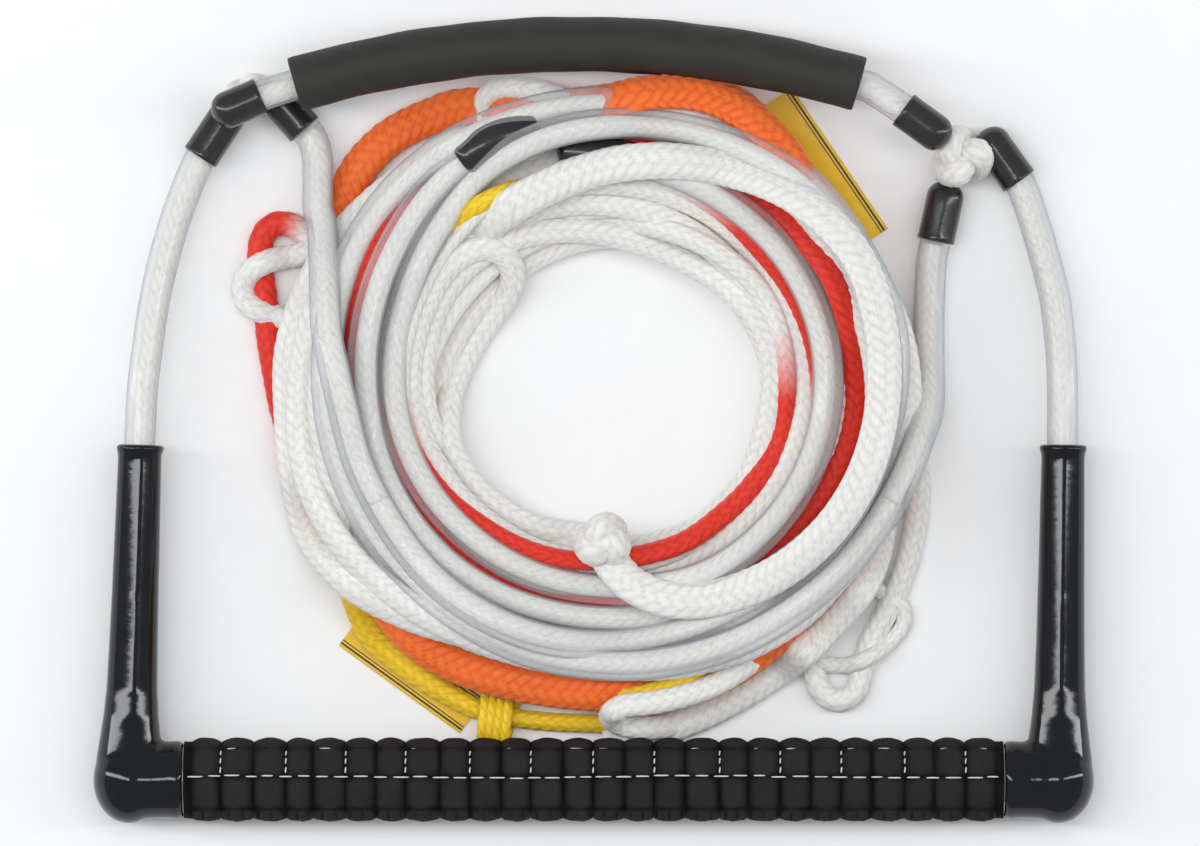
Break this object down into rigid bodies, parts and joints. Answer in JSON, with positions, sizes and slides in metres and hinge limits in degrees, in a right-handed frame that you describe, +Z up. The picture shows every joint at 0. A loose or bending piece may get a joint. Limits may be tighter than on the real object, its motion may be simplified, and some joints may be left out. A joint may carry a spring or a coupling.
{
  "type": "tow rope handle",
  "caption": "Water-ski tow handle with padded bar, moulded boots, folding bridle and foam arm guard, with its bridle tails and tow line wound in a coil.",
  "frame": {"origin": "middle of the handle's outline, on the surface that it lies on, without the coil and cords", "axes": "+X along the grip bar, to the right as seen from above; +Y from the grip bar to the arm guard; +Z up from the surface"},
  "size_m": [0.33, 0.2651, 0.0495],
  "materials": {
    "aluminium_bar": "satin",
    "float_core": "matte",
    "white_rope": "woven",
    "red_rope": "woven",
    "orange_rope": "woven",
    "yellow_rope": "woven",
    "clear_vinyl": "gloss",
    "black_pvc": "gloss",
    "plug_nylon": "satin",
    "underlay_foam": "matte",
    "grip_suede": "matte",
    "eva_foam": "matte",
    "label_film": "satin"
  },
  "bodies": {
    "grip": {"handle_bar": "aluminium_bar", "bar_float_core": "float_core", "bar_rope": "white_rope", "end_plug_left": "plug_nylon", "end_plug_right": "plug_nylon", "grip_underlay": "underlay_foam", "grip_cover": "grip_suede", "boot_left": "black_pvc", "boot_right": "black_pvc", "tube_stub_left": "clear_vinyl", "tube_stub_right": "clear_vinyl", "coil_main_section": "white_rope", "coil_red_section": "red_rope", "coil_orange_section": "orange_rope", "coil_yellow_section": "yellow_rope", "coil_bridle_tails": "clear_vinyl", "tail_left": "clear_vinyl", "tail_right": "clear_vinyl", "red_loop": "red_rope", "orange_loop": "orange_rope", "yellow_loop": "yellow_rope", "yellow_wrap": "yellow_rope", "white_loop": "white_rope", "boat_end_knot": "white_rope", "label_strip_upper": "label_film", "label_strip_lower": "label_film"},
    "bridle": {"leg_tube_left": "clear_vinyl", "leg_rope_left": "white_rope", "leg_sleeve_left": "black_pvc", "tail_sleeve_left": "black_pvc", "tail_tube_end_left": "clear_vinyl", "tail_rope_end_left": "white_rope", "junction_knot_left": "white_rope", "leg_tube_right": "clear_vinyl", "leg_rope_right": "white_rope", "leg_sleeve_right": "black_pvc", "tail_sleeve_right": "black_pvc", "tail_tube_end_right": "clear_vinyl", "tail_rope_end_right": "white_rope", "junction_knot_right": "white_rope"},
    "arm_guard": {"guard_tube": "clear_vinyl", "guard_rope": "white_rope", "guard_sleeve_left": "black_pvc", "guard_sleeve_right": "black_pvc"},
    "float": {"guard_float": "eva_foam"}
  },
  "joints": [
    {"name": "bridle_fold", "type": "hinge", "parent": "grip", "child": "bridle", "pos_m": [0, -0.002, 0.0138], "axis": [1, 0, 0], "range_deg": [0, 90]},
    {"name": "guard_swing", "type": "hinge", "parent": "bridle", "child": "arm_guard", "pos_m": [-0.1204, 0.1024, 0.0225], "axis": [0.9995, -0.0322, 0], "range_deg": [0, 65]},
    {"name": "float_slide", "type": "hinge", "parent": "arm_guard", "child": "float", "pos_m": [-0.0051, -0.20595, 0.0225], "axis": [0, 0, 1], "range_deg": [-0.3, 1.8]}
  ]
}
